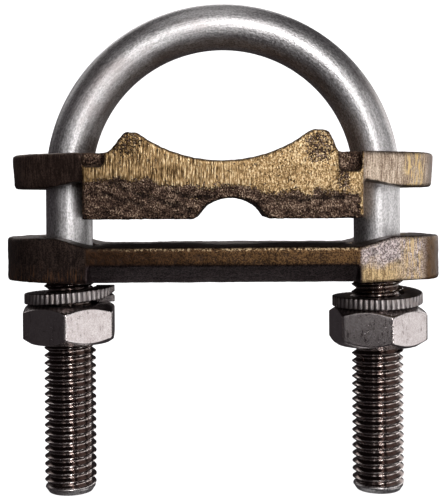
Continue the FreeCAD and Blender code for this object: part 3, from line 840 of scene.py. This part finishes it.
# Dark blotched steel whose rib tops are rubbed bright, with dark ends
def washerSteel():
    look = washerLook
    material, f = newMaterial("washerSteel")
    place = f.node("TexCoord", None, None, 3)
    speck = f.noise(f.place(place, (1, 1, 1), look["speck"]), 3.0, 0.6)
    blotch = f.noise(f.place(place, (1, 1, 1), look["blotch"]), 3.0, 0.6)
    crest = (f.field("crest") + (speck - 0.5) * 0.4).step(0.35, 0.85)
    base = f.mix(blotch.step(0.40, 0.65), *look["steel"])
    base = f.mix(crest * (1 - blotch.step(0.46, 0.66) * 0.8), base, look["ribTops"])
    base = f.mix(speck.step(0.6, 0.75) * 0.5, base, look["specks"])
    base = f.mix(f.field("fromEnd").step(0.02, 0.0) * 0.8, base, look["ends"])
    roughness = 0.28 + speck * 0.16
    metal(f, base, roughness, speck, look["bump"])
    return material


nutShape = {
    "flats": 8.5 * mm,  # middle to each flat
    "height": 7.4 * mm,
    "face": 7.8 * mm,  # radius of the flat face inside the chamfers
    "slope": math.tan(math.radians(33)),  # of the chamfers, from the face
    "cornerSoften": 0.13 * mm,
    "chamferSoften": 0.04 * mm,
    "bore": 5.05 * mm,
    "countersink": 0.6 * mm,
    "threadRoom": 0.06 * mm,  # between the nut's thread and the leg's
    "leadIn": 1.2,  # how fast the thread deepens from each mouth
    "columns": 240,
    # rows from each face in, in millimetres, then even rows and the rows of the bore
    "nearRows": [
        0, 0.02, 0.05, 0.1, 0.15, 0.2, 0.26, 0.33, 0.41, 0.5, 0.6, 0.72, 0.86, 1.0, 1.15, 1.35,
    ],
    "evenFrom": 1.6 * mm,
    "evenRows": 9,
    "boreRows": 62,
    "faceRings": [0.03, 0.3, 0.65, 0.97, 1.0],
    "left": (-30 * mm, -31.05 * mm, 4.0),  # leg axis, underside, corner from the front
    "right": (30 * mm, -31.95 * mm, 8.5),
}


# Nut: the radius at an angle and height is the smooth minimum of the six flats, each
# flats / cos(angle to it), and of the two chamfer cones. The section runs up the
# outside, in over the top, down the threaded bore and out over the bottom.
def makeNut(side):
    look = nutShape
    legX, low, corner = look[side]
    columns, height = look["columns"], look["height"]
    start = math.radians(corner - 90)
    angle = start + np.arange(columns)[None, :] / columns * 2 * np.pi
    near = np.array(look["nearRows"]) * mm
    middle = np.linspace(look["evenFrom"], height - look["evenFrom"], look["evenRows"])
    rows = np.concatenate([near, middle, (height - near)[::-1]])[:, None]
    # flats that face away from a point are kept far outside it
    flats = [np.cos(angle - start - math.radians(30 + 60 * k)) for k in range(6)]
    flats = [look["flats"] / np.maximum(c, 0.3) + 0 * rows for c in flats]
    flats = softMin(np.stack(flats), look["cornerSoften"])
    cones = [look["face"] + h / look["slope"] + 0 * angle for h in (rows, height - rows)]
    radius = softMin(np.stack([flats, *cones]), look["chamferSoften"])
    outside = (radius, rows + 0 * angle)
    # top face inward, mouth, bore with the nut's own thread, mouth, bottom face outward
    sink = look["countersink"]
    mouth = look["bore"] + sink
    bore = np.linspace(height - sink, sink, look["boreRows"])[:, None]
    depth = threadDepth(low + bore, angle)
    tooth = thread["crest"] - (thread["crest"] - thread["root"]) * depth + look["threadRoom"]
    inward = np.minimum(bore, height - bore) - sink
    tooth = np.maximum(tooth, look["bore"] - inward * look["leadIn"])
    inner = []
    for z in (height, 0):
        rim = outside[0][-1:] if z else outside[0][:1]
        ring = rim + (mouth - rim) * np.array(look["faceRings"])[:, None]
        level = np.full_like(ring, z)
        inner.append((ring, level) if z else (ring[::-1], level))
    parts = [outside, inner[0], (tooth, bore + 0 * angle), inner[1]]
    radius = np.concatenate([p[0] for p in parts])
    level = np.concatenate([p[1] for p in parts])
    grid = np.stack([legX + radius * np.cos(angle), radius * np.sin(angle), low + level], -1)
    inside = np.zeros_like(radius)
    first = len(outside[0]) + len(inner[0][0])
    inside[first : first + len(bore)] = 1.0
    # how far a point is from the nearest upright corner and from the nearest face
    sector = np.abs((angle - start + np.pi / 6) % (np.pi / 3) - np.pi / 6)
    fromCorner = look["flats"] * (math.tan(math.pi / 6) - np.tan(np.pi / 6 - sector)) / mm
    fields = {
        "inside": inside,
        "fromCorner": fromCorner + 0 * radius,
        "fromFace": np.minimum(level, height - level) / mm,
    }
    return skin("hex_nut_" + side + "_body", grid, fields, ringRows=True)


nutLook = {
    "speck": 0.25 * mm,
    "cloud": 2.0 * mm,
    "slant": 0.30 * mm,
    "steep": 0.28 * mm,
    "steel": [
        (0.38, (0.48, 0.432, 0.424)),
        (0.50, (0.53, 0.480, 0.471)),
        (0.60, (0.59, 0.540, 0.532)),
    ],
    "clouded": (0.36, 0.30, 0.295),
    "nicked": (0.12, 0.085, 0.08),
    "rim": (0.28, 0.24, 0.24),
    "threadTone": (0.06, 0.042, 0.036),
    "bump": 0.010 * mm,
}


# Scratched satin steel: flat and steep nicks in clouds, dull rims and a dark thread
def nutSteel():
    look = nutLook
    material, f = newMaterial("nutSteel")
    place = f.node("TexCoord", None, None, 3)
    speck = f.noise(f.place(place, (1, 1, 1), look["speck"]), 1.0, 0.5)
    cloud = f.noise(f.place(place, (1, 1, 1), look["cloud"]), 4.0, 0.65)
    slant = f.noise(f.place(place, (0.14, 0.14, 1), look["slant"]), 1.0, 0.5, 0.9)
    steep = f.noise(f.place(place, (1, 1, 0.10), look["steep"]), 1.0, 0.5, 0.9)
    nicks = f.math("MAXIMUM", slant.step(0.69, 0.74), steep.step(0.61, 0.70))
    nicks = nicks * cloud.step(0.44, 0.60)
    base = f.ramp(speck, *look["steel"])
    base = f.mix(cloud.step(0.40, 0.70) * 0.35, base, look["clouded"])
    base = f.mix(nicks * 0.8, base, look["nicked"])
    rim = (f.field("fromFace") + (cloud - 0.5) * 0.5).step(0.35, 0.05)
    base = f.mix(rim * 0.35, base, look["rim"])
    inside = f.field("inside")
    base = f.mix(inside * 0.85, base, look["threadTone"])
    roughness = 0.16 + speck * 0.08 + cloud * 0.08 + inside * 0.1
    height = speck * 0.55 + cloud * 0.6 - nicks * 0.9
    metal(f, base, roughness, height, look["bump"])
    return material


uBolt = makeUBolt()
dress(uBolt, satinSteel(), "u_bolt", "u_bolt")
saddle = makeSaddle()
dress(saddle, groundBronze(), "saddle", "saddle")
bar = makeBar()
dress(bar, castBronze(), "lower_bar", "lower_bar")
coilSteel = washerSteel()
hexSteel = nutSteel()
for side in ("left", "right"):
    node = "spring_washer_" + side
    dress(makeWasher(side), coilSteel, "nut_" + side, node)
    node = "hex_nut_" + side
    dress(makeNut(side), hexSteel, "nut_" + side, node)


studio = {
    "floor": -60.2 * mm,
    "radius": 0.75,
    "wall": 1.1,
    "bend": 0.35,  # radius of the bend from the floor up into the wall
    "bendRows": 16,
    "columns": 96,
    "paper": [(0.90, 0.90, 0.90), (0.93, 0.93, 0.93)],
    "fibre": 3 * mm,
    "glow": 0.90,
    "dimRoom": (0.042, 0.037, 0.040),  # what the metals reflect; the camera sees white
    "aim": (0, 0, -0.01),
    # name: degrees right of the front, degrees up, distance, width and height, watts
    "lights": {
        "frontTop": (5, 33, 0.60, (0.09, 0.20), 0.42),
        "frontStrip": (6, 13, 0.60, (0.09, 0.20), 0.86),
        "lowStrip": (18, -15, 0.60, (0.03, 0.20), 0.40),
        "rightStrip": (43, 0, 0.60, (0.045, 0.44), 0.27),
        "rightLow": (72, -14, 0.60, (0.50, 0.44), 0.96),
        "rightHigh": (68, 22, 0.60, (0.24, 0.20), 0.10),
        "rightBack": (110, 12, 0.60, (0.16, 0.40), 0.35),
        "leftFill": (-30, 9, 0.60, (0.10, 0.30), 0.13),
        "under": (186, -70, 0.60, (0.24, 0.24), 0.28),
        "overhead": (-20, 74, 0.70, (0.30, 0.20), 0.20),
        "topBack": (180, 76, 0.70, (0.30, 0.30), 0.12),
        "backTop": (190, 36, 0.80, (0.60, 0.30), 1.1),
        "backLeft": (-122, 30, 0.80, (0.30, 0.30), 0.25),
        "backRight": (136, 12, 0.80, (0.36, 0.44), 0.75),
    },
}


# The paper: a bowl turned about Z, flat in the middle and bending up into a wall
def makePaper():
    look = studio
    turn = np.linspace(0, np.pi / 2, look["bendRows"])[1:]
    flat = [0, 0.1, 0.3, look["radius"] - look["bend"]]
    reach = np.concatenate([flat, look["radius"] - look["bend"] * (1 - np.sin(turn))])
    level = np.concatenate([np.zeros(len(flat)), look["bend"] * (1 - np.cos(turn))])
    reach = np.append(reach, look["radius"])[:, None]
    level = np.append(level, look["wall"])[:, None] + look["floor"]
    angle = np.arange(look["columns"])[None, :] / look["columns"] * 2 * np.pi
    grid = np.stack([reach * np.cos(angle), reach * np.sin(angle), level + 0 * angle], -1)
    paper = skin("studio_paper", grid, sharp=180)
    material, f = newMaterial("paleStudioPaper")
    place = f.node("TexCoord", None, None, 3)
    fibre = f.noise(f.place(place, (1, 1, 1), look["fibre"]), 3.0, 0.6)
    shade = f.mix(fibre, *look["paper"])
    matte = f.node("BsdfDiffuse", None, {"Color": shade})
    glow = f.node("Emission", None, {"Color": (1, 1, 1, 1), "Strength": look["glow"]})
    both = f.node("AddShader", None, {0: matte, 1: glow})
    f.node("OutputMaterial", None, {"Surface": both})
    paper.data.materials.append(material)
    paper.visible_glossy = False
    paper.visible_diffuse = False
    paper.visible_shadow = False


# A soft light aimed at the clamp, placed by its angle to the right of the front, its
# angle up and its distance
def softLight(name, right, up, distance, size, power):
    data = bpy.data.lights.new(name, "AREA")
    data.shape = "RECTANGLE"
    data.size, data.size_y = size
    data.energy = power
    light = bpy.data.objects.new(name, data)
    across, height = math.radians(right), math.radians(up)
    level = math.cos(height)
    way = Vector((math.sin(across) * level, -math.cos(across) * level, math.sin(height)))
    light.location = Vector(studio["aim"]) + way * distance
    light.rotation_euler = (-way).to_track_quat("-Z", "Y").to_euler()
    bpy.context.scene.collection.objects.link(light)


makePaper()
for name, spot in studio["lights"].items():
    softLight(name, *spot)

# The room: white for the camera, dim for all that the metals reflect
world = bpy.data.worlds.new("room")
bpy.context.scene.world = world
world.use_nodes = True
room = Finish(world.node_tree)
seen = room.node("LightPath", None, None, 0)
shade = room.mix(seen, studio["dimRoom"], (1, 1, 1))
back = room.node("Background", None, {"Color": shade, "Strength": 1.0})
room.node("OutputWorld", None, {"Surface": back})

# Camera: level, and rolled a little. In the photograph the bolt leans one way and the
# castings the other, and the roll shares the error between them.
view = {
    "lens": 68.2,  # millimetres, as the sensor
    "sensor": 36,
    "shift": -0.094,
    "nearest": 0.01,
    "place": (0, -0.185, -0.0043),
    "turn": (90, 0.35, 0),  # degrees
}

cameraData = bpy.data.cameras.new("camera")
cameraData.lens = view["lens"]
cameraData.sensor_width = view["sensor"]
cameraData.shift_y = view["shift"]
cameraData.clip_start = view["nearest"]
camera = bpy.data.objects.new("camera", cameraData)
camera.location = view["place"]
camera.rotation_euler = [math.radians(d) for d in view["turn"]]
bpy.context.scene.collection.objects.link(camera)
bpy.context.scene.camera = camera
bpy.context.scene.view_settings.view_transform = "Standard"

print("studio ready")
